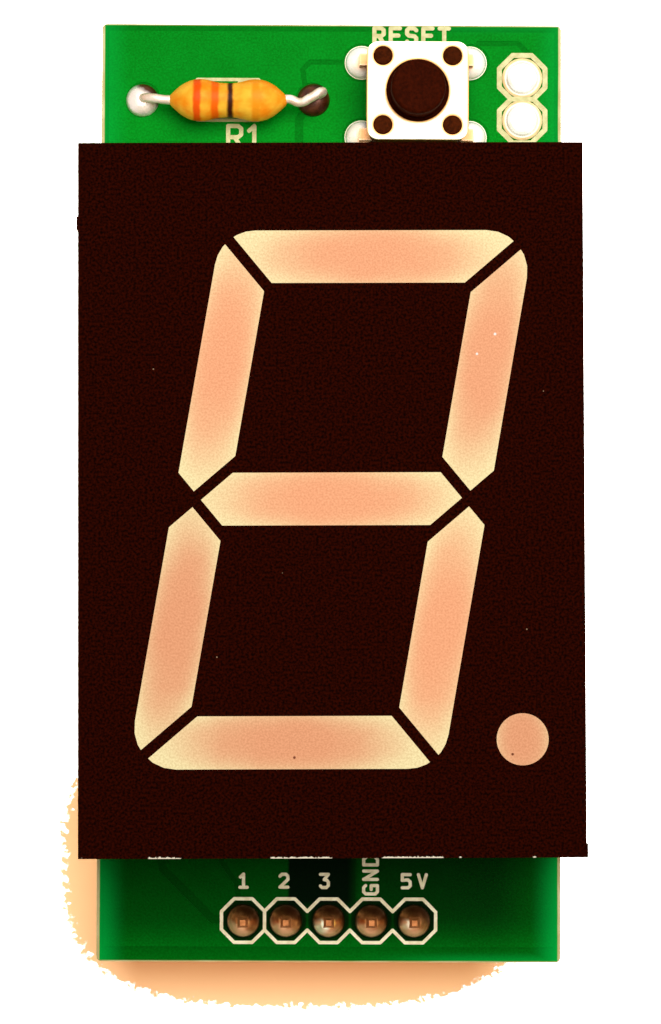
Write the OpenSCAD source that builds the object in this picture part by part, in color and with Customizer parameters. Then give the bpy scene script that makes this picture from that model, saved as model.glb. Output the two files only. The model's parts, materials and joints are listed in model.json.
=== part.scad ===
// Single-digit seven segment display module.
// The display stands on a small circuit board with its driver chip, a reset
// button, one resistor and a five-pin header.  Millimetres, +Z is the way the
// digit faces, +Y is the top of the digit, and z = 0 is at the header pin tips.

/* [Board] */
// Thickness of the board
board_t = 1.6; // [1:0.1:2.4]
// Radius of the board's corners
board_r = 0.3; // [0.1:0.1:1]
// From the board's left edge to the resistor's first hole
edge_to_resistor = 2.48; // [1.6:0.01:5]
// From the resistor's second hole to the button's legs
resistor_to_button = 2.96; // [2.6:0.01:6]
// From the button's legs to the filled pads
button_to_pads = 3.15; // [2.4:0.01:6]
// From the filled pads to the board's right edge
pads_to_edge = 2.35; // [1.4:0.01:5]
// From the board's top edge to the button's base
button_to_edge = 1.55; // [0.5:0.05:4]
// From the button's base to the display
button_to_display = 1.45; // [0.8:0.05:4]
// From the header's pins to the display
header_to_display = 4.65; // [2:0.05:8]
// From the board's bottom edge to the header's pins
header_in = 2.45; // [1.6:0.05:4]
// How far solder pads reach beyond their hole, on each side
pad_ring = 0.5; // [0.3:0.05:0.6]

/* [Digit] */
// Width of the upright digit, before it leans
digit_w = 17.6; // [14:0.1:22]
// Height of the digit
digit_h = 30.1; // [25:0.1:40]
// Width of the upright segments
upright_w = 3.01; // [2:0.01:3.6]
// Height of the level segments
level_h = 2.95; // [2:0.01:3.6]
// Lean of the digit, in degrees
slant = 10; // [0:1:12]
// Gap between neighbouring segments
segment_gap = 0.62; // [0.3:0.02:1]
// How far inside the digit's edge the gaps at its waist cross
waist_inset = 1.08; // [0.6:0.02:1.4]
// Radius of the digit's outer corners
digit_r = 2.3; // [0.8:0.1:2.8]
// Diameter of the decimal point
point_d = 2.9; // [2:0.1:3.5]
// Decimal point's centre, in from the face's right side
point_in_x = 3.54; // [3:0.01:4.2]
// Decimal point's centre, in from the face's bottom end
point_in_y = 6.57; // [4:0.01:8]

/* [Display] */
// Face on each side of the upright digit
face_side = 5.35; // [5:0.05:8]
// Face above and below the digit
face_end = 4.95; // [4.5:0.05:8]
// Depth of the display from its back to its face
display_d = 10.5; // [7:0.5:14]
// Gap between the board and the back of the display
display_gap = 1.4; // [1.15:0.05:3]
// How far the display is turned on the board, in degrees, as it was soldered
display_turn = 0.38; // [0:0.02:0.5]
// Side wall of the display's housing
housing_wall = 1.2; // [0.8:0.1:1.6]
// Front wall of the display's housing
housing_deck = 1.5; // [0.8:0.1:2.5]
// Wall of the light wells behind the segments
well_wall = 0.8; // [0.5:0.1:1]
// Thickness of the dark coat on the face
coat_t = 0.12; // [0.05:0.01:0.3]
// Thickness of the display's own substrate, which closes its back
substrate_t = 1.2; // [0.8:0.1:2]
// Clearance around the substrate inside the housing
substrate_fit = 0.05; // [0.02:0.01:0.2]
// How far the moulding nubs stand out of the housing's sides
nub_out = 0.08; // [0.05:0.01:0.2]
// Length of the moulding nubs
nub_l = 0.75; // [0.5:0.05:1.5]
// Height of the moulding nubs, down from the face
nub_h = 3; // [1:0.5:5]
// Middle of the left nub, in from the display's top end
nub_in = 4.5; // [1:0.5:15]

/* [Light sources] */
// Side of each light-emitting chip
led_side = 0.35; // [0.2:0.05:0.5]
// Height of each light-emitting chip
led_h = 0.2; // [0.1:0.05:0.4]
// Distance between the two chips of a segment
led_span = 4.8; // [3:0.1:6]

/* [Display pins] */
// From the display's ends to its two rows of pins
row_in = 3.49; // [2.5:0.01:3.6]
// Pins in each row of the display
row_pins = 5; // [3:1:6]
// Pitch of the display's pins, of the chip's leads and of the header
pitch = 2.54; // [2.5:0.01:2.6]
// Diameter of a display pin
display_pin_d = 0.5; // [0.4:0.05:0.7]
// How far each trimmed pin or lead stands out of the board past its solder
tail = 0.4; // [0.2:0.1:0.8]

/* [Driver chip] */
// Leads along each side of the chip
chip_side_leads = 10; // [8:1:12]
// Width of the chip's moulded body
chip_w = 6.4; // [6:0.1:6.8]
// Thickness of the chip's moulded body
chip_t = 3.3; // [2.8:0.1:3.8]
// Length of the body past its end leads
chip_end = 1.67; // [1.2:0.01:2.2]
// Distance between the two rows of leads
chip_rows = 7.62; // [7.5:0.01:7.8]
// Gap between the chip's body and the board
chip_gap = 0.5; // [0.3:0.1:1]
// Thickness of the lead strip
lead_t = 0.25; // [0.2:0.01:0.3]
// Width of a lead at its shoulder
shoulder_w = 1.4; // [1:0.1:1.6]
// Width of a lead where it goes through the board
lead_w = 0.46; // [0.4:0.01:0.6]
// Radius of the notch at the chip's end
notch_r = 0.8; // [0.5:0.1:1.2]
// Depth of the notch at the chip's end
notch_d = 0.8; // [0.4:0.1:1.5]

/* [Reset button] */
// Diameter of the plunger's stem
stem_d = 3.2; // [2.8:0.1:5]
// Rounding of the stem's top edge
stem_r = 0.22; // [0.1:0.02:0.4]
// Height of the stem's top above the board
stem_top = 5; // [4.2:0.1:9.5]
// Clearance between the stem and its hole in the cover, on each side
stem_fit = 0.25; // [0.1:0.05:0.3]
// How far the plunger's flange reaches past the stem
flange_lip = 0.4; // [0.2:0.05:0.5]
// Thickness of the plunger's flange
flange_t = 0.7; // [0.5:0.1:0.9]
// Gap between the flange and the cover
flange_gap = 0.03; // [0.01:0.01:0.1]
// Diameter of the nub under the flange
press_d = 1.4; // [0.8:0.1:1.8]
// Clearance between the flange and the well in the base, on each side
well_fit = 0.2; // [0.1:0.05:0.4]
// From the well to the outside of the flaps
base_wall = 0.8; // [0.7:0.05:1.5]
// Diameter of the staked posts
post_d = 1.1; // [0.8:0.05:1.3]
// Height of the posts' heads above the cover
post_head = 0.1; // [0.05:0.05:0.2]
// From the posts to the outside of the flaps
post_edge = 0.4; // [0.3:0.01:0.45]
// Height of the base under the cover
base_h = 3.25; // [2.9:0.05:3.9]
// Height of the floor inside the base
floor_h = 1.2; // [0.9:0.05:1.5]
// Thickness of the metal cover
cover_t = 0.25; // [0.15:0.05:0.3]
// How much shorter the base is at each end than it is wide over the flaps
cover_in = 0.1; // [0.05:0.05:0.3]
// Corner radius of the base and the cover
cover_r = 0.7; // [0.4:0.1:0.9]
// Width of the two flaps folded down the base's sides
flap_w = 2.4; // [2:0.1:2.9]
// How far the flaps reach down the base
flap_h = 1.9; // [1:0.1:2.2]
// Thickness of the flaps
flap_t = 0.2; // [0.15:0.01:0.25]
// Clearance between the snap dome and the well's wall
dome_fit = 0.3; // [0.1:0.05:0.5]
// Rise of the snap dome
dome_rise = 0.4; // [0.3:0.02:0.5]
// Thickness of the snap dome
dome_t = 0.08; // [0.06:0.01:0.1]
// How far the legs' holes lie outside the base
leg_out = 0.25; // [0.2:0.05:0.5]
// How far the legs' holes lie inside the base's ends
leg_in = 0.75; // [0.6:0.05:1]
// Width of a leg
leg_w = 0.7; // [0.5:0.05:0.85]
// Thickness of a leg
leg_t = 0.3; // [0.2:0.05:0.4]
// Thickness of the contact strips in the base's floor
strip_t = 0.25; // [0.2:0.05:0.3]

/* [Resistor] */
// Length of the resistor's body
resistor_l = 6.8; // [5.5:0.1:9]
// Diameter of the body's rounded ends
resistor_end_d = 2.4; // [2:0.05:3]
// Diameter of the body's slimmer middle
resistor_mid_d = 1.95; // [1.6:0.05:2.2]
// Length of each rounded end
resistor_end_l = 2; // [1.5:0.1:2.2]
// How the ends narrow, from blunt to pointed
resistor_taper = 0.7; // [0.4:0.05:1]
// How far the lacquer stands out round each lead where it leaves the body
lacquer_skirt = 0.06; // [0.02:0.01:0.15]
// Diameter of the resistor's leads
resistor_lead_d = 0.55; // [0.4:0.05:0.7]
// Straight length of each lead between the body and the bend
lead_straight = 0.78; // [0.2:0.01:4]
// Radius of each lead's bend, to its middle line
lead_bend_r = 0.9; // [0.5:0.05:0.95]

/* [Header] */
// Pins in the header
header_n = 5; // [3:1:6]
// Side of a square header pin
header_pin = 0.64; // [0.5:0.01:0.8]
// Length of the pins below the plastic strip
header_down = 6; // [5:0.5:12]
// Height and width of the plastic strip
strip_side = 2.5; // [2.3:0.05:2.8]
// How far each pin stands out of the board's front
header_up = 1.4; // [1.2:0.1:2]
// Length of the taper at a pin's ends
pin_taper = 0.35; // [0.2:0.05:0.5]

/* [Solder] */
// Height of the solder cones on the header pins
cone_h = 1.1; // [0.8:0.1:1.2]
// Height of ordinary solder fillets
fillet_h = 0.7; // [0.5:0.05:0.8]
// Height of the solder in the two filled pads
bead_h = 0.3; // [0.1:0.05:0.5]
// How far solder reaches past what it holds at its neck, on each side
neck_ring = 0.18; // [0.1:0.01:0.25]
// Clearance of the holes around pins and leads, on each side
hole_fit = 0.12; // [0.08:0.01:0.2]
// Hole diameter of the two filled pads
filled_hole_d = 1; // [0.8:0.1:1.2]
// Middle of the two filled pads, above the button's middle
filled_up = 0.1; // [-0.5:0.1:0.5]
// Height of the solder on the front, around the resistor's leads
resistor_fillet_h = 0.4; // [0.2:0.05:0.6]

/* [Hidden] */
$fn = 48;

// Cuts run this far past the faces they open
over = 1;

// Levels
board_z = header_down + strip_side;
board_top = board_z + board_t;
display_z = board_top + display_gap;
substrate_top = display_z + substrate_t;
face_z = display_z + display_d;
deck_z = face_z - housing_deck;
chip_top = board_z - chip_gap;
chip_mid = chip_top - chip_t / 2;

// The face goes round the digit
face_w = digit_w + 2 * face_side;
face_l = digit_h + 2 * face_end;
row_span = face_l - 2 * row_in;
point_x = face_w / 2 - point_in_x;
point_y = face_l / 2 - point_in_y;

// The button goes round its stem, from the inside out
stem_hole_d = stem_d + 2 * stem_fit;
flange_d = stem_d + 2 * flange_lip;
well_d = flange_d + 2 * well_fit;
dome_d = well_d - 2 * dome_fit;
base_side = well_d + 2 * base_wall;
post_span = base_side - post_d - 2 * post_edge;
leg_span_x = base_side + 2 * leg_out;
leg_span_y = base_side - 2 * leg_in;

// The board is as wide as the row of parts at its top, and as long as the
// display with a strip past each of its ends
resistor_span = resistor_l + 2 * (lead_straight + lead_bend_r);
board_w = edge_to_resistor + resistor_span + resistor_to_button
    + leg_span_x + button_to_pads + pads_to_edge;
top_strip = button_to_edge + base_side + button_to_display;
bottom_strip = header_in + header_to_display;
board_l = face_l + top_strip + bottom_strip;
display_y = (bottom_strip - top_strip) / 2;

// Places on the board
resistor_x = -board_w / 2 + edge_to_resistor + resistor_span / 2;
button_x = resistor_x + resistor_span / 2 + resistor_to_button + leg_span_x / 2;
filled_x = board_w / 2 - pads_to_edge;
button_y = board_l / 2 - button_to_edge - base_side / 2;
resistor_y = button_y;
filled_y = button_y + filled_up;
header_y = -board_l / 2 + header_in;
chip_l = (chip_side_leads - 1) * pitch + 2 * chip_end;
resistor_axis = board_top + resistor_end_d / 2;

// Where the pins and leads go through
header_spots = [for (i = [0:header_n - 1]) [(i - (header_n - 1) / 2) * pitch, header_y]];
display_spots = [
    for (side = [-1, 1], i = [0:row_pins - 1])
        [(i - (row_pins - 1) / 2) * pitch, side * row_span / 2]
];
chip_spots = [
    for (side = [-1, 1], i = [0:chip_side_leads - 1])
        [side * chip_rows / 2, display_y + (i - (chip_side_leads - 1) / 2) * pitch]
];
button_spots = [
    for (side = [-1, 1], end = [-1, 1])
        [button_x + side * leg_span_x / 2, button_y + end * leg_span_y / 2]
];
resistor_spots = [for (side = [-1, 1]) [resistor_x + side * resistor_span / 2, resistor_y]];
filled_spots = [for (end = [-1, 1]) [filled_x, filled_y + end * pitch / 2]];

// Holes that clear what goes through them.  The display's have the clearance
// twice, because the display can stand turned.
header_hole_d = header_pin * sqrt(2) + 2 * hole_fit;
display_hole_d = display_pin_d + 4 * hole_fit;
chip_hole_d = norm([lead_w, lead_t]) + 2 * hole_fit;
leg_hole_d = norm([leg_w, leg_t]) + 2 * hole_fit;
resistor_hole_d = resistor_lead_d + 2 * hole_fit;

// The digit's outline: half sizes, corner diagonals and waist crossings
half_w = digit_w / 2;
half_h = digit_h / 2;
lean_t = tan(slant);
corner_line = half_h - half_w;
waist_x = half_w - waist_inset;
inner_x = half_w - upright_w;
inner_y = half_h - level_h;
// Half a gap, measured up the page, along lines that rise and that fall
rise_gap = segment_gap / 2 * norm([1 + lean_t, 1]);
fall_gap = segment_gap / 2 * norm([1 - lean_t, 1]);

// The button's levels
cover_z = board_top + base_h;
floor_z = board_top + floor_h;
dome_top = floor_z + dome_rise + dome_t;
flange_top = cover_z - flange_gap;

// A point of the upright digit, leaned over
function lean(p) = [p[0] + p[1] * lean_t, p[1]];
function leaned(points) = [for (p = points) lean(p)];

// The points of a convex outline with its corners rounded
function unit(v) = v / norm(v);
function rounded(points, r, steps = 6) = [
    for (i = [0:len(points) - 1])
        let (
            corner = points[i],
            back = unit(points[(i + len(points) - 1) % len(points)] - corner),
            ahead = unit(points[(i + 1) % len(points)] - corner),
            half = acos(back * ahead) / 2,
            centre = corner + unit(back + ahead) * r / sin(half),
            start = corner + back * r / tan(half) - centre,
            turn = 180 - 2 * half
        )
        for (s = [0:steps])
            let (a = -turn * s / steps)
                centre + [
                    start[0] * cos(a) - start[1] * sin(a),
                    start[0] * sin(a) + start[1] * cos(a)
                ]
];

// Outlines of the top, upper side and middle segments of the upright digit.
// All lists run clockwise.  Turned by 180 degrees they give the other segments.
top_outline = [
    [corner_line + fall_gap - inner_y, inner_y],
    [corner_line + fall_gap - half_h, half_h],
    [half_h - corner_line - rise_gap, half_h],
    [inner_y - corner_line - rise_gap, inner_y]
];
right_outline = [
    [inner_x, waist_x + fall_gap - inner_x],
    [inner_x, corner_line - rise_gap + inner_x],
    [half_w, corner_line - rise_gap + half_w],
    [half_w, waist_inset + rise_gap],
    [waist_x - (rise_gap - fall_gap) / 2, (rise_gap + fall_gap) / 2]
];
left_outline = [
    [-inner_x, corner_line - fall_gap + inner_x],
    [-inner_x, waist_x + rise_gap - inner_x],
    [-waist_x - (rise_gap - fall_gap) / 2, (rise_gap + fall_gap) / 2],
    [-half_w, waist_inset + fall_gap],
    [-half_w, corner_line - fall_gap + half_w]
];
middle_outline = [
    [-waist_x + (rise_gap + fall_gap) / 2, (fall_gap - rise_gap) / 2],
    [level_h / 2 - waist_x + rise_gap, level_h / 2],
    [waist_x - fall_gap - level_h / 2, level_h / 2],
    [waist_x - (rise_gap + fall_gap) / 2, (rise_gap - fall_gap) / 2],
    [waist_x - rise_gap - level_h / 2, -level_h / 2],
    [fall_gap - waist_x + level_h / 2, -level_h / 2]
];

// A rectangle centred on the origin, clockwise
function rectangle(w, l) = [[-w, -l], [-w, l], [w, l], [w, -l]] / 2;

// A leaning box of the digit, of these half sizes
function leaning_box(x, y) = leaned(rectangle(2 * x, 2 * y));

// Middles of the segments of the upright digit, and which way each one runs
segment_middles = [
    [0, half_h - level_h / 2, 0], [half_w - upright_w / 2, half_h / 2, 90],
    [half_w - upright_w / 2, -half_h / 2, 90], [0, level_h / 2 - half_h, 0],
    [upright_w / 2 - half_w, -half_h / 2, 90], [upright_w / 2 - half_w, half_h / 2, 90],
    [0, 0, 0]
];
led_spots = concat(
    [
        for (m = segment_middles, side = [-1, 1])
            lean([m[0], m[1]] + side * led_span / 2 * [cos(m[2]), sin(m[2])])
    ],
    [[point_x, -point_y]]
);

// Places its children on the display as it is soldered to the board
module on_display() {
    translate([0, display_y, 0]) rotate([0, 0, display_turn]) children();
}

// A box centred on the origin across, standing on this level
module block(w, l, h, z) {
    translate([-w / 2, -l / 2, z]) cube([w, l, h]);
}

// Round bars at a list of places
module bars(spots, d, z, h) {
    for (p = spots) translate([p[0], p[1], z]) cylinder(d = d, h = h);
}

// ---- Circuit board -------------------------------------------------------

module circuit_board() {
    color("seagreen")
    difference() {
        translate([0, 0, board_z])
            linear_extrude(board_t)
            polygon(rounded(rectangle(board_w, board_l), board_r));
        board_bars(header_spots, header_hole_d);
        board_bars(chip_spots, chip_hole_d);
        board_bars(button_spots, leg_hole_d);
        board_bars(resistor_spots, resistor_hole_d);
        board_bars(filled_spots, filled_hole_d);
        on_display() board_bars(display_spots, display_hole_d);
    }
}

module board_bars(spots, d) {
    bars(spots, d, board_z - over, board_t + 2 * over);
}

// ---- Display -------------------------------------------------------------

// Moulding nubs: one on the left side and one at the bottom right corner
module nubs(h, z) {
    for (corner = [
        [-face_w / 2, face_l / 2 - nub_in - nub_l / 2],
        [face_w / 2, -face_l / 2]
    ])
        translate([corner[0] - nub_out, corner[1], z]) cube([2 * nub_out, nub_l, h]);
}

// One segment as a prism, cut to the digit's round outer corners
module segment(outline, flip, z, h) {
    translate([0, 0, z])
    rotate([0, 0, flip])
    intersection() {
        linear_extrude(h) polygon(leaned(outline));
        linear_extrude(h) polygon(rounded(leaning_box(half_w, half_h), digit_r));
    }
}

module all_segments(z, h) {
    for (flip = [0, 180]) {
        segment(top_outline, flip, z, h);
        segment(right_outline, flip, z, h);
        segment(left_outline, flip, z, h);
    }
    segment(middle_outline, 0, z, h);
    bars([[point_x, -point_y]], point_d, z, h);
}

// White moulded housing: a box open at the back, with light wells that reach
// down to the substrate and a hollow around them
module display_housing() {
    well_z = substrate_top;
    well_h = deck_z - well_z;
    color("ivory")
    on_display()
    difference() {
        union() {
            difference() {
                block(face_w, face_l, display_d - coat_t, display_z);
                block(
                    face_w - 2 * housing_wall, face_l - 2 * housing_wall,
                    deck_z - display_z + over, display_z - over
                );
            }
            nubs(nub_h - coat_t, face_z - nub_h);
            difference() {
                translate([0, 0, well_z])
                linear_extrude(well_h)
                polygon(leaning_box(half_w + well_wall, half_h + well_wall));
                loop_hollows(well_z, well_h);
            }
            bars([[point_x, -point_y]], point_d + 2 * well_wall, well_z, well_h);
        }
        all_segments(well_z - over, display_d + 2 * over);
    }
}

// The hollows inside the digit's upper and lower loops
module loop_hollows(z, h) {
    loop_low = level_h / 2 + well_wall;
    loop_high = inner_y - well_wall;
    loop_x = inner_x - well_wall;
    for (flip = [0, 180])
        rotate([0, 0, flip])
        translate([0, 0, z - over])
        linear_extrude(h + over)
        polygon(leaned([
            [-loop_x, loop_low], [-loop_x, loop_high], [loop_x, loop_high], [loop_x, loop_low]
        ]));
}

// Dark coat on the face, with a window over each well
module face_coat() {
    color("black")
    on_display()
    difference() {
        union() {
            block(face_w, face_l, coat_t, face_z - coat_t);
            nubs(coat_t, face_z - coat_t);
        }
        all_segments(face_z - coat_t - over, coat_t + 2 * over);
    }
}

// Light-coloured resin that fills a well, cast around its two chips
module resin(outline, flip) {
    color("peachpuff")
    on_display()
    difference() {
        segment(outline, flip, substrate_top, face_z - substrate_top);
        led_blocks();
    }
}

module segment_a() { resin(top_outline, 0); }
module segment_b() { resin(right_outline, 0); }
module segment_c() { resin(left_outline, 180); }
module segment_d() { resin(top_outline, 180); }
module segment_e() { resin(right_outline, 180); }
module segment_f() { resin(left_outline, 0); }
module segment_g() { resin(middle_outline, 0); }

module decimal_point() {
    color("peachpuff")
    on_display()
    difference() {
        bars([[point_x, -point_y]], point_d, substrate_top, face_z - substrate_top);
        led_blocks();
    }
}

module led_blocks() {
    for (p = led_spots)
        translate([p[0], p[1], 0]) block(led_side, led_side, led_h, substrate_top);
}

module led_chips() {
    color("gold") on_display() led_blocks();
}

// Substrate that closes the housing's back and carries chips and pins
module display_substrate() {
    inset = 2 * (housing_wall + substrate_fit);
    color("wheat")
    on_display()
    difference() {
        block(face_w - inset, face_l - inset, substrate_t, display_z);
        bars(display_spots, display_pin_d, display_z - over, substrate_t + 2 * over);
    }
}

module display_pin_bars() {
    pin_low = board_z - fillet_h - tail;
    bars(display_spots, display_pin_d, pin_low, substrate_top + tail - pin_low);
}

module display_pins() {
    color("silver") on_display() display_pin_bars();
}

// ---- Driver chip, on the back of the board --------------------------------

module chip_block() {
    translate([0, display_y, 0]) block(chip_w, chip_l, chip_t, chip_top - chip_t);
}

// Moulded body, with a notch at the end where its first lead is
module chip_body() {
    color("dimgray")
    difference() {
        chip_block();
        translate([0, display_y + chip_l / 2, chip_top - chip_t - over])
            cylinder(r = notch_r, h = notch_d + over);
    }
}

// Each lead is a flat strip: out of the body's side, down its wide shoulder,
// and through the board
module chip_lead_bars() {
    for (p = chip_spots) {
        side = sign(p[0]);
        reach = (chip_rows + lead_t - chip_w) / 2;
        translate([p[0], p[1], 0]) {
            block(lead_t, shoulder_w, chip_top - chip_mid + lead_t / 2, chip_mid - lead_t / 2);
            block(lead_t, lead_w, board_top + fillet_h + tail - chip_top, chip_top);
        }
        translate([side * (chip_w + reach) / 2, p[1], 0])
            block(reach, shoulder_w, lead_t, chip_mid - lead_t / 2);
    }
}

module chip_leads() {
    color("silver") chip_lead_bars();
}

// ---- Reset button ----------------------------------------------------------

module on_button() {
    translate([button_x, button_y, 0]) children();
}

post_spots = [for (x = [-1, 1], y = [-1, 1]) [x, y] * post_span / 2];

// Outline that the base and the cover share, between the cover's flaps
button_outline = rounded(
    rectangle(base_side - 2 * flap_t, base_side - 2 * cover_in), cover_r
);

// Base with a round well and four posts whose heads are staked over the cover
module switch_base() {
    color("#2a211c")
    difference() {
        on_button() {
            difference() {
                translate([0, 0, board_top])
                    linear_extrude(base_h) polygon(button_outline);
                translate([0, 0, floor_z]) cylinder(d = well_d, h = base_h);
            }
            bars(post_spots, post_d, cover_z, cover_t);
            for (p = post_spots)
                translate([p[0], p[1], cover_z + cover_t])
                    cylinder(d1 = post_d, d2 = post_d - post_head, h = post_head);
        }
        contact_strips();
        leg_bars();
    }
}

// Metal cover: a plate with a hole for the stem, holes for the posts, and a
// flap folded down on each side between the legs
module switch_cover() {
    color("whitesmoke")
    on_button()
    difference() {
        union() {
            translate([0, 0, cover_z]) linear_extrude(cover_t) polygon(button_outline);
            block(base_side, flap_w, cover_t, cover_z);
            for (side = [-1, 1])
                translate([side * (base_side - flap_t) / 2, 0, 0])
                    block(flap_t, flap_w, flap_h + cover_t, cover_z - flap_h);
        }
        translate([0, 0, cover_z - over]) cylinder(d = stem_hole_d, h = cover_t + 2 * over);
        bars(post_spots, post_d, cover_z - over, cover_t + 2 * over);
    }
}

// Plunger: round stem, flange that stays under the cover, and a nub that
// presses the dome
module switch_plunger() {
    stem_end = board_top + stem_top;
    color("#3a2018")
    on_button()
    rotate_extrude()
    polygon(concat(
        [[0, dome_top], [press_d / 2, dome_top], [press_d / 2, flange_top - flange_t]],
        [[flange_d / 2, flange_top - flange_t], [flange_d / 2, flange_top]],
        [[stem_d / 2, flange_top]],
        [
            for (a = [0:15:90])
                [stem_d / 2 - stem_r * (1 - cos(a)), stem_end - stem_r * (1 - sin(a))]
        ],
        [[0, stem_end]]
    ));
}

// Thin dished disc that snaps through when it is pressed
module switch_dome() {
    ring_r = dome_d / 2;
    steps = 8;
    color("silver")
    on_button()
    translate([0, 0, floor_z])
    rotate_extrude()
    polygon(concat(
        [for (s = [0:steps]) [ring_r * (1 - s / steps), dome_rise * sin(90 * s / steps)]],
        [for (s = [steps:-1:0]) [ring_r * (1 - s / steps), dome_rise * sin(90 * s / steps) + dome_t]]
    ));
}

// Strips in the floor that join the legs in pairs: one has a tongue under the
// dome's middle, the other two prongs under the dome's rim
module contact_strips() {
    strip_z = floor_z - strip_t;
    prong_x = dome_d / 2 - leg_w / 2;
    across = leg_span_x + leg_t;
    on_button() {
        for (end = [-1, 1])
            translate([0, end * leg_span_y / 2, 0]) block(across, leg_w, strip_t, strip_z);
        translate([-leg_w / 2, 0, strip_z]) cube([leg_w, leg_span_y / 2, strip_t]);
        for (side = [-1, 1])
            translate([side * prong_x - leg_w / 2, -leg_span_y / 2, strip_z])
                cube([leg_w, leg_span_y / 2, strip_t]);
    }
}

module leg_bars() {
    leg_low = board_z - fillet_h - tail;
    for (p = button_spots)
        translate([p[0], p[1], 0]) block(leg_t, leg_w, floor_z - leg_low, leg_low);
}

module switch_contacts() {
    color("silver")
    union() {
        contact_strips();
        leg_bars();
    }
}

// ---- Resistor ----------------------------------------------------------------

// Half width of the body at this share of its half length, from its middle out:
// slim along the middle, swollen at the ends and closed round the leads
function body_r(s) = let (
        mid_r = resistor_mid_d / 2,
        t = max(0, 1 - (1 - s) * resistor_l / 2 / resistor_end_l),
        swell = (resistor_end_d / 2 - mid_r) * sin(min(90, 360 * t))
    )
    max(
        resistor_lead_d / 2 + lacquer_skirt,
        (mid_r + swell) * pow(max(0, cos(90 * t)), resistor_taper)
    );

module resistor_body() {
    steps = 24;
    color("sandybrown")
    translate([resistor_x, resistor_y, resistor_axis])
    rotate([0, 90, 0])
    rotate_extrude()
    polygon(concat(
        [[0, -resistor_l / 2]],
        [for (s = [-steps:steps]) [body_r(abs(s) / steps), s / steps * resistor_l / 2]],
        [[0, resistor_l / 2]]
    ));
}

// Each lead leaves the body's end, bends down and goes through the board
module resistor_lead_bars() {
    low = board_z - fillet_h - tail;
    translate([resistor_x, resistor_y, 0])
    for (side = [0, 180])
        rotate([0, 0, side])
        translate([resistor_l / 2, 0, resistor_axis]) {
            rotate([0, 90, 0]) cylinder(d = resistor_lead_d, h = lead_straight);
            translate([lead_straight, 0, -lead_bend_r])
                rotate([90, 0, 0])
                rotate_extrude(angle = 90)
                translate([lead_bend_r, 0])
                circle(d = resistor_lead_d);
            translate([lead_straight + lead_bend_r, 0, low - resistor_axis])
                cylinder(d = resistor_lead_d, h = resistor_axis - lead_bend_r - low);
        }
}

module resistor_leads() {
    color("silver") resistor_lead_bars();
}

// ---- Header --------------------------------------------------------------------

// Square pin with tapered ends, cut from two crossed side profiles
module header_pin_bars() {
    pin_top = board_top + header_up;
    half = header_pin / 2;
    tip = half / 2;
    profile = [
        [-tip, 0], [-half, pin_taper], [-half, pin_top - pin_taper], [-tip, pin_top],
        [tip, pin_top], [half, pin_top - pin_taper], [half, pin_taper], [tip, 0]
    ];
    for (p = header_spots)
        translate([p[0], p[1], 0])
        intersection() {
            rotate([90, 0, 0]) linear_extrude(header_pin, center = true) polygon(profile);
            rotate([90, 0, 90]) linear_extrude(header_pin, center = true) polygon(profile);
        }
}

module header_pins() {
    color("gold") header_pin_bars();
}

// Plastic strip, nicked between the pins
module header_strip() {
    nick = strip_side / 6;
    color("#222222")
    difference() {
        translate([0, header_y, 0]) block(header_n * pitch, strip_side, strip_side, header_down);
        for (i = [1:header_n - 1], side = [-1, 1])
            translate([
                (i - header_n / 2) * pitch, header_y + side * strip_side / 2,
                board_z - strip_side / 2
            ])
                rotate([0, 0, 45])
                cube([nick * sqrt(2), nick * sqrt(2), strip_side + over], center = true);
        header_pin_bars();
    }
}

// ---- Solder --------------------------------------------------------------------

// Side of a hollow cone from its pad up to its neck
function hollow_side(pad_r, neck_r, h, steps = 5) = [
    for (s = [0:steps])
        let (a = 90 * s / steps) [pad_r - (pad_r - neck_r) * sin(a), h * (1 - cos(a))]
];

// Side of a round bead from its pad up to its neck
function round_side(pad_r, neck_r, h, steps = 6) = [
    for (s = [0:steps])
        let (a = 90 * s / steps) [neck_r + (pad_r - neck_r) * cos(a), h * sin(a)]
];

module turned(side) {
    rotate_extrude() polygon(concat([[0, 0]], side, [[0, side[len(side) - 1][1]]]));
}

// One joint: solder fills the hole and rises to a neck on the front, the back
// or both, round what it holds
module joint(spot, hole_d, held_d, front_h = 0, back_h = 0, bead = false) {
    pad_r = hole_d / 2 + pad_ring;
    neck_r = held_d > 0 ? held_d / 2 + neck_ring : 0;
    translate([spot[0], spot[1], board_z]) {
        cylinder(d = hole_d, h = board_t);
        if (front_h > 0)
            translate([0, 0, board_t])
            turned(bead ? round_side(pad_r, neck_r, front_h) : hollow_side(pad_r, neck_r, front_h));
        if (back_h > 0)
            mirror([0, 0, 1])
            turned(bead ? round_side(pad_r, neck_r, back_h) : hollow_side(pad_r, neck_r, back_h));
    }
}

module display_solder() {
    color("gainsboro")
    on_display()
    difference() {
        for (p = display_spots)
            joint(p, display_hole_d, display_pin_d, back_h = fillet_h);
        display_pin_bars();
    }
}

module chip_solder() {
    color("gainsboro")
    difference() {
        for (p = chip_spots) joint(p, chip_hole_d, lead_w, front_h = fillet_h);
        chip_lead_bars();
    }
}

module switch_solder() {
    color("gainsboro")
    difference() {
        for (p = button_spots) joint(p, leg_hole_d, leg_w, back_h = fillet_h);
        leg_bars();
    }
}

module resistor_solder() {
    color("gainsboro")
    difference() {
        for (p = resistor_spots)
            joint(p, resistor_hole_d, resistor_lead_d, resistor_fillet_h, fillet_h);
        resistor_lead_bars();
    }
}

// Solder on the header stands on the front only, because the plastic strip
// covers the pads on the back
module header_solder() {
    color("tan")
    difference() {
        for (p = header_spots)
            joint(p, header_hole_d, header_pin, front_h = cone_h, bead = true);
        header_pin_bars();
    }
}

module pad_solder() {
    color("white")
    for (p = filled_spots) joint(p, filled_hole_d, 0, bead_h, bead_h, bead = true);
}

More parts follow.
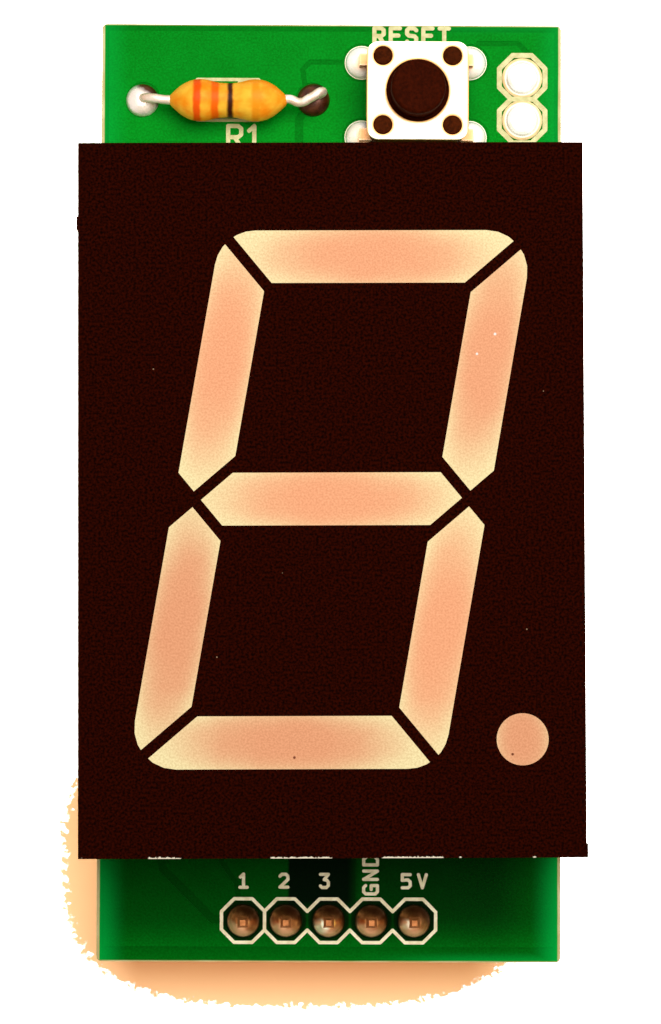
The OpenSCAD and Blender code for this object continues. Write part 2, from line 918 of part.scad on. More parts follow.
circuit_board();
display_housing();
face_coat();
segment_a();
segment_b();
segment_c();
segment_d();
segment_e();
segment_f();
segment_g();
decimal_point();
led_chips();
display_substrate();
display_pins();
display_solder();
chip_body();
chip_leads();
chip_solder();
switch_base();
switch_cover();
switch_plunger();
switch_dome();
switch_contacts();
switch_solder();
resistor_body();
resistor_leads();
resistor_solder();
header_strip();
header_pins();
header_solder();
pad_solder();
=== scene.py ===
# Seven segment display module: one digit on a small board, with its reset button,
# one resistor and a five-way header.  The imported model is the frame, in metres.
import json
import math

import bmesh
import bpy
from mathutils import Matrix, Vector


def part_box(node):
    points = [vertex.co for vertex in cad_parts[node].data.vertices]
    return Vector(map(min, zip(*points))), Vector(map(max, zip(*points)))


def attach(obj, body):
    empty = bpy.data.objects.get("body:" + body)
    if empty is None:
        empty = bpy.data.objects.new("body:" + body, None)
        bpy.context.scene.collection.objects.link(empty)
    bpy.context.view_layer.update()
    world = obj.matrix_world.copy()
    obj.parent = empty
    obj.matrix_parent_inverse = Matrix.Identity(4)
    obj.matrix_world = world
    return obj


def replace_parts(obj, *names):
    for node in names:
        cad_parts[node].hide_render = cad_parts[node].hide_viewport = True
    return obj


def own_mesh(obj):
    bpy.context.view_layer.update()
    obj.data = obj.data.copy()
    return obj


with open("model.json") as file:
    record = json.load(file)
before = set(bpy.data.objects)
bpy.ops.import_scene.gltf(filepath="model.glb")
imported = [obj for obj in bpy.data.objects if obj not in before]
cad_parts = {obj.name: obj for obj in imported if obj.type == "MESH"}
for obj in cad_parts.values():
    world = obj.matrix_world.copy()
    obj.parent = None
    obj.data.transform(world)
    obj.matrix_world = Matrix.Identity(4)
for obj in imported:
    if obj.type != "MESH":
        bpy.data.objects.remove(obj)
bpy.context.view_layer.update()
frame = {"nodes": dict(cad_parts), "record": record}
nodes = frame["nodes"]

# Sizes and places below are written in millimetres
MM = 0.001

# ---- Camera ----------------------------------------------
# A long lens looks almost straight down on the object, from a little below its middle.
# Its place is in millimetres, and its turn in radians.

camera_place = (-1.13, -7.57, 189.41)
camera_turn = (0.03512, -0.00657, 0.0037)
camera_lens = 105.5

camera_data = bpy.data.cameras.new("camera")
camera_data.sensor_width = 36
camera_data.lens = camera_lens
camera = bpy.data.objects.new("camera", camera_data)
camera.location = Vector(camera_place) * MM
camera.rotation_euler = camera_turn
bpy.context.collection.objects.link(camera)
bpy.context.scene.camera = camera

# ---- Circuit board ---------------------------------------
# A drilled sheet of glass-fibre laminate, routed to size and coated on both sides
# with green solder mask.  Its pale edge shows the layers of glass cloth.


def paint(red, green, blue):
    """A colour from its screen values, 0 to 255."""

    def light(value):
        value = value / 255
        return value / 12.92 if value <= 0.04045 else ((value + 0.055) / 1.055) ** 2.4

    return (light(red), light(green), light(blue), 1)


def add(tree, kind, inputs=None, **settings):
    """A node of this kind, with its settings and with values or links on its inputs."""
    node = tree.nodes.new("ShaderNode" + kind)
    for name, value in settings.items():
        setattr(node, name, value)
    for socket, value in (inputs or {}).items():
        if isinstance(value, bpy.types.NodeSocket):
            tree.links.new(value, node.inputs[socket])
        else:
            node.inputs[socket].default_value = value
    return node


def calc(tree, operation, first, second=0.0):
    """One step of arithmetic on measures or masks."""
    return add(tree, "Math", {0: first, 1: second}, operation=operation).outputs[0]


def between(tree, value, low, high):
    """0 below low, 1 above high and a smooth step between them; low may be the larger."""
    inputs = {0: value, 1: low, 2: high}
    return add(tree, "MapRange", inputs, interpolation_type="SMOOTHSTEP").outputs[0]


def length(tree, across, along):
    """Length of the straight line that goes this far across and this far along."""
    squares = [calc(tree, "MULTIPLY", way, way) for way in (across, along)]
    return calc(tree, "SQRT", calc(tree, "ADD", *squares))


def mixed(tree, share, first, second, **settings):
    """The first colour at share 0, and the second at share 1."""
    inputs = {0: share, 6: first, 7: second}
    return add(tree, "Mix", inputs, data_type="RGBA", **settings).outputs[2]


# Cloudy change from one colour to another, with a height that follows it
grain = bpy.data.node_groups.new("grain", "ShaderNodeTree")
for way, socket, kind in (
    ("INPUT", "Vector", "Vector"),
    ("INPUT", "Scale", "Float"),
    ("INPUT", "Detail", "Float"),
    ("INPUT", "First", "Color"),
    ("INPUT", "Second", "Color"),
    ("OUTPUT", "Color", "Color"),
    ("OUTPUT", "Height", "Float"),
):
    grain.interface.new_socket(socket, in_out=way, socket_type="NodeSocket" + kind)
given = grain.nodes.new("NodeGroupInput").outputs
made = grain.nodes.new("NodeGroupOutput").inputs
inputs = {socket: given[socket] for socket in ("Vector", "Scale", "Detail")}
cloud = add(grain, "TexNoise", inputs).outputs[0]
share = between(grain, cloud, 0.3, 0.7)
grain.links.new(mixed(grain, share, given["First"], given["Second"]), made["Color"])
grain.links.new(cloud, made["Height"])


class Finish:
    """A material with one Principled BSDF.  The keywords are what is the same all over."""

    def __init__(self, name, **plain):
        self.material = bpy.data.materials.new(name)
        self.material.use_nodes = True
        self.tree = self.material.node_tree
        self.surface = self.tree.nodes["Principled BSDF"]
        for socket, value in plain.items():
            self.surface.inputs[socket.replace("_", " ")].default_value = value
        place = add(self.tree, "TexCoord")
        self.normal = place.outputs["Normal"]
        self.mm = add(
            self.tree, "Mapping", {"Vector": place.outputs["Object"], "Scale": (1 / MM,) * 3}
        ).outputs[0]

    def split(self, vector=None):
        """X, Y and Z of a vector, or else of the place on the object in millimetres."""
        return add(self.tree, "SeparateXYZ", {0: vector or self.mm}).outputs

    def grained(self, scale, detail, first, second):
        """Colour and height of a cloudy grain, with its scale in clouds per millimetre."""
        inputs = {"Vector": self.mm, "Scale": scale, "Detail": detail}
        inputs.update(First=first, Second=second)
        return add(self.tree, "Group", inputs, node_tree=grain).outputs

    def clouds(self, scale, detail):
        """Only the height of a cloudy grain."""
        plain = (1, 1, 1, 1)
        return self.grained(scale, detail, plain, plain)["Height"]

    def clouded(self, scale, detail, first, second, relief=0.0):
        """A cloudy grain as the colour, and as relief this many millimetres deep."""
        cloudy = self.grained(scale, detail, first, second)
        self.feed("Base Color", cloudy["Color"])
        if relief:
            self.bumped(cloudy["Height"], relief)
        return cloudy

    def rough_where(self, height, low, high):
        """Roughness that follows a height: smooth below low, rough above high."""
        self.feed("Roughness", between(self.tree, height, low, high))

    def feed(self, socket, value):
        """Links a value to an input of the shader."""
        self.tree.links.new(value, self.surface.inputs[socket])

    def bumped(self, height, depth):
        """Relief this many millimetres deep."""
        bump = add(self.tree, "Bump", {"Height": height, "Distance": depth * MM})
        self.feed("Normal", bump.outputs[0])

    def on(self, node):
        """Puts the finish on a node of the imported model."""
        for place in nodes[node].material_slots:
            place.material = self.material


def span(node):
    """Lowest and highest corner of a node, in millimetres."""
    low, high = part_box(node)
    return low / MM, high / MM


def centre(node):
    """Middle of a node's box, in millimetres."""
    low, high = span(node)
    return (low + high) / 2


board_low, board_high = span("circuit_board")
board_top = board_high.z
board_bottom = board_low.z
pitch = 2.54
header_mid = centre("header_pins")

# Width of the rim that the mask leaves bare, along the sides and at the ends
bare_rim = 0.17
end_rim = 0.07
# Places on the front where the mask is painted dark as shade: lowest x and y, highest x and y,
# how soft all sides but the left one are, and strength.  The first is also a window in the copper.
window_and_shade_places = (
    (-2.4, -24.9, 1.6, -10, 0.55, 1.0),
    (2.9, -26.4, 11.0, -10, 1.6, 0.54),
    (-20.0, -27.2, 20.0, -20, 2.0, 0.61),
)
# Near black: painted shade, over bare laminate in the window
mask_bare_and_shaded = paint(0, 18, 1)
mask_shade_ring = paint(8, 26, 1)
mask_lit_rim = paint(0, 196, 76)
# Outer and inner radius of the ring of painted shade round a joint of the header
ring_out, ring_in = 1.42, 1.12
# How far in from the sides and from the ends the mask is painted paler, as light
lit_rim_side, lit_rim_end = 1.9, 0.7


def to_rim(finish):
    """How far it is to the board's nearer side, and to its nearer end."""
    tree = finish.tree
    x, y, _ = finish.split()
    return [
        calc(tree, "SUBTRACT", edge, calc(tree, "ABSOLUTE", value))
        for value, edge in ((x, board_high.x), (y, board_high.y))
    ]


def from_pin(finish):
    """X, Y, and how far across and along it is from the nearest pin of an endless header."""
    tree = finish.tree
    x, y, _ = finish.split()
    across = add(tree, "Math", {0: x, 1: pitch / 2, 2: -pitch / 2}, operation="WRAP").outputs[0]
    return x, y, across, calc(tree, "SUBTRACT", y, header_mid.y)


def from_joint(finish):
    """How far it is from the nearest of the header's five joints."""
    tree = finish.tree
    x, _, across, along = from_pin(finish)
    beyond = calc(tree, "SUBTRACT", calc(tree, "ABSOLUTE", x), 2 * pitch)
    across = calc(tree, "MAXIMUM", calc(tree, "ABSOLUTE", across), beyond)
    return length(tree, across, along)


def lit_and_shaded(finish, colour):
    """The mask's colour, with painted shade round joints and in the shade places, and painted
    light toward the rim.
    """
    tree = finish.tree
    x, y, z = finish.split()
    front = between(tree, z, board_top - 0.2, board_top - 0.1)
    # Painted shade in a ring round each joint of the header
    ring = calc(tree, "MULTIPLY", between(tree, from_joint(finish), ring_out, ring_in), 0.9)
    colour = mixed(tree, calc(tree, "MULTIPLY", ring, front), colour, mask_shade_ring)
    # Painted shade in each of the shade places
    for low_x, low_y, high_x, high_y, soft, strength in window_and_shade_places:
        inside = front
        for value, edge, width in (
            (x, low_x, 0.1),
            (x, high_x, -soft),
            (y, low_y, soft),
            (y, high_y, -soft),
        ):
            side = between(tree, value, edge - width, edge + width)
            inside = calc(tree, "MULTIPLY", inside, side)
        colour = mixed(tree, calc(tree, "MULTIPLY", inside, strength), colour, mask_bare_and_shaded)
    # Painted light: paler along both sides, and at the right of each end; more so toward the foot
    from_side, from_end = to_rim(finish)
    by_side = between(tree, from_side, lit_rim_side, 0.0)
    by_end = between(tree, from_end, lit_rim_end, 0.0)
    by_end = calc(tree, "MULTIPLY", by_end, between(tree, x, 1, 9))
    pale = calc(tree, "MAXIMUM", by_side, calc(tree, "MULTIPLY", by_end, 0.65))
    more = calc(tree, "MULTIPLY", between(tree, y, 10, -22), 0.34)
    pale = calc(tree, "MULTIPLY", pale, calc(tree, "ADD", more, 0.3))
    return mixed(tree, pale, colour, mask_lit_rim)


def woven(finish, smooth, first, second):
    """Two greens of the glass weave, half over a smooth green, with its relief, and the mask's
    painted light and shade.
    """
    weave = finish.grained(8, 2, first, second)
    finish.bumped(weave["Height"], 0.01)
    return lit_and_shaded(finish, mixed(finish.tree, 0.5, smooth, weave["Color"]))


mask = Finish("board_mask", Roughness=0.4, Specular_IOR_Level=0.01)
tree = mask.tree
# The bare laminate: flat layers of cloth, seen on the routed edges and in the holes
stretched = add(tree, "Mapping", {"Vector": mask.mm, "Scale": (0.6, 0.6, 9)}).outputs[0]
layers = add(tree, "TexNoise", {"Vector": stretched, "Scale": 1.0, "Detail": 3}).outputs[0]
layers = between(tree, layers, 0.35, 0.65)
cloth = mixed(tree, layers, paint(206, 190, 128), paint(226, 216, 158))
# The mask covers both faces up to a ragged line near the rim
from_side, from_end = to_rim(mask)
rim = calc(tree, "MINIMUM", from_side, calc(tree, "ADD", from_end, bare_rim - end_rim))
cloudy = mask.grained(0.35, 4, paint(0, 114, 16), paint(0, 124, 20))
ragged = calc(tree, "ADD", rim, calc(tree, "MULTIPLY", cloudy["Height"], 0.05))
level = calc(tree, "ABSOLUTE", mask.split(mask.normal)[2])
masked = between(tree, ragged, bare_rim, bare_rim + 0.06)
masked = calc(tree, "MULTIPLY", masked, between(tree, level, 0.4, 0.8))
green = woven(mask, cloudy["Color"], paint(0, 104, 12), paint(0, 132, 25))
mask.feed("Base Color", mixed(tree, masked, cloth, green))
mask.on("circuit_board")

# ---- Copper under the mask -------------------------------
# Copper left on both faces: a wide plane, with a ring etched round each pad and lines
# etched between its parts.  Under the mask it looks a brighter green than bare board.

copper_t = 0.035
pad_t = 0.05
# How far the plane ends from the board's sides and top, and from its foot
plane_rim = 0.42
plane_foot = 0.9
clearance = 0.15


def spot(x, y):
    """A place on the board, in millimetres."""
    return Vector((x, y, 0))


def corners(mid, out_x, out_y):
    """Four spots, this far across and along the board from a middle."""
    return [mid + spot(side * out_x, end * out_y) for side in (-1, 1) for end in (-1, 1)]


header_spots = [spot((place - 2) * pitch, header_mid.y) for place in range(5)]
button_mid = centre("switch_base")
legs_low, legs_high = span("switch_contacts")
leg_t, leg_w = 0.3, 0.7
leg_x = (legs_high.x - legs_low.x) / 2 - leg_t / 2
leg_y = (legs_high.y - legs_low.y) / 2 - leg_w / 2
leg_spots = corners(button_mid, leg_x, leg_y)
leads_low, leads_high = span("resistor_leads")
resistor_mid = centre("resistor_body")
lead_d = leads_high.y - leads_low.y
resistor_spots = [
    spot(leads_low.x + lead_d / 2, resistor_mid.y),
    spot(leads_high.x - lead_d / 2, resistor_mid.y),
]
filled_mid = centre("pad_solder")
filled_spots = [spot(filled_mid.x, filled_mid.y + end * pitch / 2) for end in (1, -1)]

chip_low, chip_high = span("chip_leads")
chip_mid = centre("chip_leads")
chip_side = 10
lead_t = 0.25
chip_spots = [
    spot(
        chip_mid.x + side * (chip_high.x - chip_low.x - lead_t) / 2,
        chip_mid.y + (place - (chip_side - 1) / 2) * pitch,
    )
    for side in (-1, 1)
    for place in range(chip_side)
]
display_low, display_high = span("display_pins")
display_mid = centre("display_pins")
display_pin = 0.5
row_half = (display_high.y - display_low.y - display_pin) / 2
display_spots = [
    spot(display_mid.x + (place - 2) * pitch, display_mid.y + side * row_half)
    for side in (-1, 1)
    for place in range(5)
]


def outline(bm, points, closed=False):
    """A chain of edges through points in millimetres, as vertices and edges."""
    knots = [bm.verts.new(Vector(point) * MM) for point in points]
    edges = [bm.edges.new(pair) for pair in zip(knots, knots[1:])]
    if closed:
        edges.append(bm.edges.new((knots[-1], knots[0])))
    return knots + edges


def shape_of(name, bm, sharp=40):
    """Closes a shape into an object at the origin, smooth across edges under an angle."""
    bmesh.ops.remove_doubles(bm, verts=bm.verts, dist=MM * 0.001)
    bmesh.ops.recalc_face_normals(bm, faces=bm.faces)
    mesh = bpy.data.meshes.new(name)
    bm.to_mesh(mesh)
    bm.free()
    mesh.shade_smooth()
    mesh.set_sharp_from_angle(angle=math.radians(sharp))
    shape = bpy.data.objects.new(name, mesh)
    bpy.context.collection.objects.link(shape)
    return shape


def settled(shape, sharp=40):
    """Applies the modifiers of a shape."""
    graph = bpy.context.evaluated_depsgraph_get()
    mesh = bpy.data.meshes.new_from_object(shape.evaluated_get(graph))
    shape.modifiers.clear()
    shape.data = mesh
    mesh.shade_smooth()
    mesh.set_sharp_from_angle(angle=math.radians(sharp))


def piece(shape, finish, body="module"):
    """Makes a shape a piece of the object, on one of its bodies."""
    shape.data.materials.clear()
    shape.data.materials.append(finish.material)
    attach(shape, body)
    return shape


def discs(bm, spots, radius, low, height, segments=40):
    """A disc at each spot, from a lowest Z and this high."""
    for place in spots:
        at = Matrix.Translation(Vector((place.x, place.y, low + height / 2)) * MM)
        bmesh.ops.create_cone(
            bm,
            cap_ends=True,
            segments=segments,
            radius1=radius * MM,
            radius2=radius * MM,
            depth=height * MM,
            matrix=at,
        )


def combine(shape, other, operation):
    """Joins another shape to this one, or cuts it out, and removes the other."""
    change = shape.modifiers.new("combine", "BOOLEAN")
    change.operation = operation
    change.solver = "EXACT"
    change.use_self = True
    change.object = other
    settled(shape)
    bpy.data.objects.remove(other)


def strip(name, paths, width, low, height):
    """Flat strips of one width along paths, with round ends and bends, as one shape."""
    bars, ends = bmesh.new(), bmesh.new()
    for path in paths:
        points = [spot(*point) for point in path]
        discs(ends, points, width / 2, low, height, 20)
        for first, second in zip(points, points[1:]):
            way = second - first
            middle = (first + second) / 2 + Vector((0, 0, low + height / 2))
            size = Matrix.Diagonal((way.length * MM, width * MM, height * MM, 1))
            turn = Matrix.Rotation(math.atan2(way.y, way.x), 4, "Z")
            bmesh.ops.create_cube(
                bars, size=1, matrix=Matrix.Translation(middle * MM) @ turn @ size
            )
    shape = shape_of(name, bars)
    combine(shape, shape_of("ends", ends), "UNION")
    return shape


def box(bm, low, high):
    """A box between two corners, in millimetres."""
    low, high = Vector(low), Vector(high)
    size = Matrix.Diagonal(((high - low) * MM).to_4d())
    at = Matrix.Translation((low + high) / 2 * MM)
    bmesh.ops.create_cube(bm, size=1, matrix=at @ size)


def copper_plane(name, low, lines, pads):
    """The copper of one face, without the lines and without a ring round each pad."""
    bm = bmesh.new()
    box(
        bm,
        (board_low.x + plane_rim, board_low.y + plane_foot, low),
        (board_high.x - plane_rim, board_high.y - plane_rim, low + copper_t),
    )
    plane = shape_of(name, bm)
    etched, deep = low - copper_t, 3 * copper_t
    for width, paths in lines:
        combine(plane, strip("line", paths, width, etched, deep), "DIFFERENCE")
    bm = bmesh.new()
    for spots, radius, _ in pads:
        discs(bm, spots, radius + clearance, etched, deep)
    combine(plane, shape_of("rings", bm), "DIFFERENCE")
    return plane


# Paths of the lines etched in the copper, and the width of each kind
wide_paths = [
    [(-1.6, 22.9), (-1.95, 22.3), (-1.95, 18)],
    [(-10.3, -20.6), (-9.87, -22.55), (-6.87, -25.55), (-5.4, -25.6)],
]
narrow_paths = [
    [(1.4, 25.78), (-1.3, 25.78), (-1.75, 25.33), (-1.6, 24.3)],
    [(-7.0, -20.6), (-6.4, -22.1), (-5.5, -23.4), (-5.25, -25.0)],
    [(8.8, 26.95), (11.2, 26.95), (12.4, 25.75)],
]
front_lines = ((0.5, wide_paths), (0.3, narrow_paths))

masked_copper = Finish("masked_copper", Roughness=0.36, Specular_IOR_Level=0.01)
cloudy = masked_copper.grained(0.5, 5, paint(0, 129, 19), paint(0, 141, 26))
green = woven(masked_copper, cloudy["Color"], paint(0, 116, 14), paint(0, 152, 33))
masked_copper.feed("Base Color", green)

# Where the pads are, their radius, and the radius of their holes
pads = [
    (header_spots, 0.96, 0.57),
    (leg_spots, 1.02, 0.45),
    (resistor_spots, 0.88, 0.39),
    (filled_spots, 1.21, 0.5),
    (chip_spots, 0.82, 0.38),
    (display_spots, 0.9, 0.49),
]
front_plane = copper_plane("copper_front", board_top, front_lines, pads)
bm = bmesh.new()
low_x, low_y, high_x, high_y = window_and_shade_places[0][:4]
box(bm, (low_x, low_y, board_top - copper_t), (high_x, high_y, board_top + 2 * copper_t))
combine(front_plane, shape_of("window", bm), "DIFFERENCE")
piece(front_plane, masked_copper)

back_paths = [
    [(-5.08, -24.4), (-5.08, -21.0), (-7.2, -18.9), (-7.2, -3.5), (-4.8, -1.1)],
    [(-2.54, -24.4), (-2.54, -20.5), (-0.6, -18.5), (-0.6, -15.5), (-3.0, -13.1)],
    [(0, -24.4), (0, -20.5), (1.2, -19.3), (1.2, -14.6), (2.9, -12.9)],
    [(5.08, -24.4), (5.08, -21.2), (8.4, -17.9), (8.4, 12.5), (4.8, 16.1)],
    [(1.8, 24.7), (1.8, 20.5), (-6.6, 12.1), (-6.6, 7.0), (-4.8, 5.2)],
    [(-11.3, 22.6), (-11.3, -8.0), (-9.0, -10.3), (-4.8, -10.3)],
]
back_lines = ((0.3, back_paths),)
back_plane = copper_plane("copper_back", board_bottom - copper_t, back_lines, pads)
piece(back_plane, masked_copper)

# ---- Pads ------------------------------------------------
# A ring of tinned copper round each soldered hole, on both faces.  It stands a little
# higher than the masked copper round it.

tin = Finish("tinned_pads", Metallic=0.6)
cloudy = tin.grained(1.6, 3, paint(248, 232, 196), paint(255, 250, 232))
# Round the two filled pads the tin is painted darker, as shade at the foot of their solder
near = 9.0
for place in filled_spots:
    inputs = {0: tin.mm, 1: (place.x, place.y, board_top)}
    off = add(tin.tree, "VectorMath", inputs, operation="DISTANCE").outputs["Value"]
    near = calc(tin.tree, "MINIMUM", off, near)
inner, outer = between(tin.tree, near, 1.0, 1.1), between(tin.tree, near, 1.5, 1.4)
shade_round_filled = calc(tin.tree, "MULTIPLY", inner, outer)
tin.feed("Base Color", mixed(tin.tree, shade_round_filled, cloudy["Color"], paint(216, 184, 130)))
tin.rough_where(cloudy["Height"], -0.6, 1.4)
tin.bumped(cloudy["Height"], 0.006)


def turned(bm, profile, at, steps=48):
    """Spins a profile of (radius, height) points round Z, then puts it where at says."""
    before = set(bm.verts)
    points = [(radius, 0, height) for radius, height in profile]
    bmesh.ops.spin(
        bm,
        geom=outline(bm, points, closed=profile[0][0] > 0),
        cent=(0, 0, 0),
        axis=(0, 0, 1),
        angle=math.tau,
        steps=steps,
        use_merge=True,
    )
    made = [corner for corner in bm.verts if corner not in before]
    bmesh.ops.transform(bm, matrix=at, space=Matrix.Identity(4), verts=made)


def put(x, y, z=0.0, slope=(0.0, 0.0)):
    """A place in millimetres; a slope moves a shape sideways by that much per unit of height."""
    lean = Matrix.Identity(4)
    lean[0][2], lean[1][2] = slope
    return Matrix.Translation(Vector((x, y, z)) * MM) @ lean


bm = bmesh.new()
for spots, radius, hole_r in pads:
    ring = [(hole_r, 0), (radius, 0), (radius, 0.7), (radius - 0.03, 1), (hole_r, 1)]
    for place in spots:
        for base, way in ((board_top, pad_t), (board_bottom, -pad_t)):
            profile = [(ring_r, height * way) for ring_r, height in ring]
            turned(bm, profile, put(place.x, place.y, base), 32)
piece(shape_of("pad_rings", bm), tin)

# ---- Silkscreen ------------------------------------------
# White ink printed over the mask: outlines round the parts, and plain marks that say
# what the button and the pins do.

ink_w = 0.24
ink_t = 0.02
ink_z = board_top + copper_t
letter_w = 0.19
bold_w = 0.25
octagon_r = 1.29

silk = Finish("silkscreen_ink", Metallic=0.3, Roughness=0.6)
cloudy = silk.grained(2.5, 5, paint(228, 212, 168), paint(252, 240, 204))
# Toward the top of the board the ink is darker and yellower
upper_ink = silk.grained(2.5, 5, paint(184, 176, 118), paint(204, 198, 144))
upper = between(silk.tree, silk.split()[1], 0, 20)
silk.feed("Base Color", mixed(silk.tree, upper, cloudy["Color"], upper_ink["Color"]))
silk.bumped(cloudy["Height"], 0.02)

# Plotter strokes in a box 0.6 wide and 1 high
strokes = {
    "1": [[(0.08, 0.78), (0.32, 1), (0.32, 0)], [(0.05, 0), (0.6, 0)]],
    "2": [[(0, 0.85), (0.15, 1), (0.45, 1), (0.6, 0.85), (0.6, 0.6), (0, 0.02), (0.6, 0.02)]],
    "3": [
        [(0, 1), (0.6, 1), (0.28, 0.6), (0.48, 0.56), (0.6, 0.4), (0.6, 0.15)]
        + [(0.45, 0), (0.12, 0), (0, 0.12)]
    ],
    "5": [[(0.6, 1), (0, 1), (0, 0.56), (0.42, 0.6), (0.6, 0.45), (0.6, 0.14), (0.45, 0), (0, 0)]],
    "V": [[(0, 1), (0.3, 0), (0.6, 1)]],
    "G": [
        [(0.6, 0.86), (0.45, 1), (0.15, 1), (0, 0.85), (0, 0.15), (0.15, 0), (0.6, 0)]
        + [(0.6, 0.45), (0.32, 0.45)]
    ],
    "N": [[(0, 0), (0, 1), (0.6, 0), (0.6, 1)]],
    "D": [[(0, 0), (0, 1), (0.4, 1), (0.6, 0.8), (0.6, 0.2), (0.4, 0), (0, 0)]],
    "R": [
        [(0, 0), (0, 1), (0.45, 1), (0.6, 0.88), (0.6, 0.6), (0.45, 0.48), (0, 0.48)],
        [(0.3, 0.48), (0.6, 0)],
    ],
    "E": [[(0.6, 1), (0, 1), (0, 0), (0.6, 0)], [(0, 0.52), (0.5, 0.52)]],
    "S": [
        [(0.6, 0.87), (0.46, 1), (0.12, 1), (0, 0.87), (0, 0.64), (0.12, 0.52), (0.48, 0.48)]
        + [(0.6, 0.36), (0.6, 0.13), (0.48, 0), (0.12, 0), (0, 0.13)]
    ],
    "T": [[(0, 1), (0.6, 1)], [(0.3, 1), (0.3, 0)]],
}


def mark(text, at, height, advance, turn=0.0):
    """Paths of a line of letters, from its lower left corner."""
    aim = Matrix.Rotation(math.radians(turn), 2)
    paths = []
    for place, letter in enumerate(text):
        for stroke in strokes[letter]:
            paths.append(
                [
                    tuple(Vector(at) + aim @ Vector((px * height + place * advance, py * height)))
                    for px, py in stroke
                ]
            )
    return paths


def pad_row(spots, apothem):
    """Closed outline round a row of pads: octagons that open into each other."""
    step = spots[1] - spots[0]
    way, half = step.normalized(), step.length / 2
    side = Vector((-way.y, way.x, 0))
    flat = apothem * math.tan(math.pi / 8)
    waist = apothem * math.sqrt(2) - half
    upper = [(spots[0], -apothem, flat)]
    for place, at in enumerate(spots):
        if place:
            upper.append((at, -half, waist))
        upper += [(at, -flat, apothem), (at, flat, apothem)]
    upper.append((spots[-1], apothem, flat))
    lower = [(at, along, -out) for at, along, out in reversed(upper)]
    points = [at + way * along + side * out for at, along, out in upper + lower]
    return [(point.x, point.y) for point in points + points[:1]]


divider_x = header_spots[0].x + pitch / 2
frames = [
    pad_row(header_spots, octagon_r),
    [(divider_x, header_mid.y - 0.55), (divider_x, header_mid.y + 0.55)],
    [(-8.42, 22.6), (-8.42, 24.35), (-8.05, 24.7), (-4.4, 24.7), (-4.02, 24.35), (-4.02, 22.6)]
    + [(-4.4, 22.25), (-8.05, 22.25), (-8.42, 22.6)],
]
piece(strip("printed_frames", frames, ink_w - 0.04, ink_z, ink_t), silk)
frames = [
    pad_row(filled_spots, octagon_r + 0.08),
    [(filled_mid.x - 0.62, filled_mid.y), (filled_mid.x + 0.62, filled_mid.y)],
]
piece(strip("printed_pad_frames", frames, ink_w + 0.06, ink_z, ink_t), silk)
piece(strip("printed_smudge", [[(-5.4, 24.5), (-4.75, 24.5)]], 0.5, ink_z, ink_t * 0.9), silk)

label_y = header_mid.y + 1.97
labels = mark("1", (-5.32, label_y), 0.78, 0.8)
labels += mark("2", (-2.9, label_y), 0.78, 0.8)
labels += mark("3", (-0.49, label_y), 0.78, 0.8)
labels += mark("GND", (2.9, -24.0), 0.82, 0.86, 90)
labels += mark("5V", (4.38, label_y), 0.78, 0.96)
piece(strip("printed_marks", labels, letter_w, ink_z, ink_t), silk)
names = mark("RESET", (2.56, 26.93), 0.92, 0.98)
names += mark("R1", (-6.2, 20.6), 1.3, 1.15)
piece(strip("printed_names", names, bold_w, ink_z, ink_t), silk)


def frame_round(low, high, margin):
    """A closed path round a box, seen from above."""
    x = low.x - margin, high.x + margin
    y = low.y - margin, high.y + margin
    return [(x[0], y[0]), (x[1], y[0]), (x[1], y[1]), (x[0], y[1]), (x[0], y[0])]


back_ink_z = board_bottom - copper_t - ink_t
back_frames = [frame_round(*span("header_strip"), 0.25), frame_round(*span("chip_body"), 0.3)]
piece(strip("printed_back", back_frames, ink_w, back_ink_z, ink_t), silk)

# ---- Driver chip -----------------------------------------
# A moulded chip on the back of the board.  Its tinned leads go through the board and
# are soldered on the front, under the display.

chip_plastic = Finish("chip_plastic", Roughness=0.62)
chip_plastic.clouded(4, 6, paint(34, 33, 33), paint(58, 56, 54), 0.02)


def rounded(bm, edges, radius, segments):
    """Rounds edges of a shape, with this radius in millimetres."""
    settings = {"affect": "EDGES", "profile": 0.5, "material": -1}
    bmesh.ops.bevel(bm, geom=edges, offset=radius * MM, segments=segments, **settings)


chip_draft = 0.16
chip_edge = 0.08
notch_r = 0.8
dimple_r = 0.55
body_low, body_high = span("chip_body")
body_mid = centre("chip_body")
bm = bmesh.new()
box(bm, body_low, body_high)
bmesh.ops.bisect_plane(
    bm, geom=bm.verts[:] + bm.edges[:] + bm.faces[:], plane_co=body_mid * MM, plane_no=(0, 0, 1)
)
ends = [corner for corner in bm.verts if abs(corner.co.z / MM - body_mid.z) > 0.1]
size = body_high - body_low
bmesh.ops.scale(
    bm,
    vec=(1 - 2 * chip_draft / size.x, 1 - 2 * chip_draft / size.y, 1),
    space=Matrix.Translation(-body_mid * MM),
    verts=ends,
)
rounded(bm, bm.edges[:], chip_edge, 2)
moulding = shape_of("chip_moulding", bm)
bm = bmesh.new()
notch = [spot(body_mid.x, body_high.y - chip_draft)]
discs(bm, notch, notch_r, body_low.z - 0.8, 1.6)
discs(bm, [spot(body_low.x + 1.3, body_high.y - 1.6)], dimple_r, body_low.z - 0.1, 0.22)
combine(moulding, shape_of("notch", bm), "DIFFERENCE")
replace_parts(piece(moulding, chip_plastic), "chip_body")

pin_metal = Finish("tinned_leads", Metallic=0.75)
cloudy = pin_metal.clouded(1.6, 5, paint(214, 196, 176), paint(252, 238, 222), 0.01)
pin_metal.rough_where(cloudy["Height"], -0.3, 1.5)
for node in ("chip_leads", "display_pins"):
    pin_metal.on(node)

solder = Finish("solder", Metallic=0.6)
cloudy = solder.clouded(1.4, 3, paint(246, 238, 216), paint(255, 253, 244), 0.006)
solder.rough_where(cloudy["Height"], -0.7, 1.5)
for node in ("chip_solder", "display_solder", "switch_solder", "pad_solder"):
    solder.on(node)

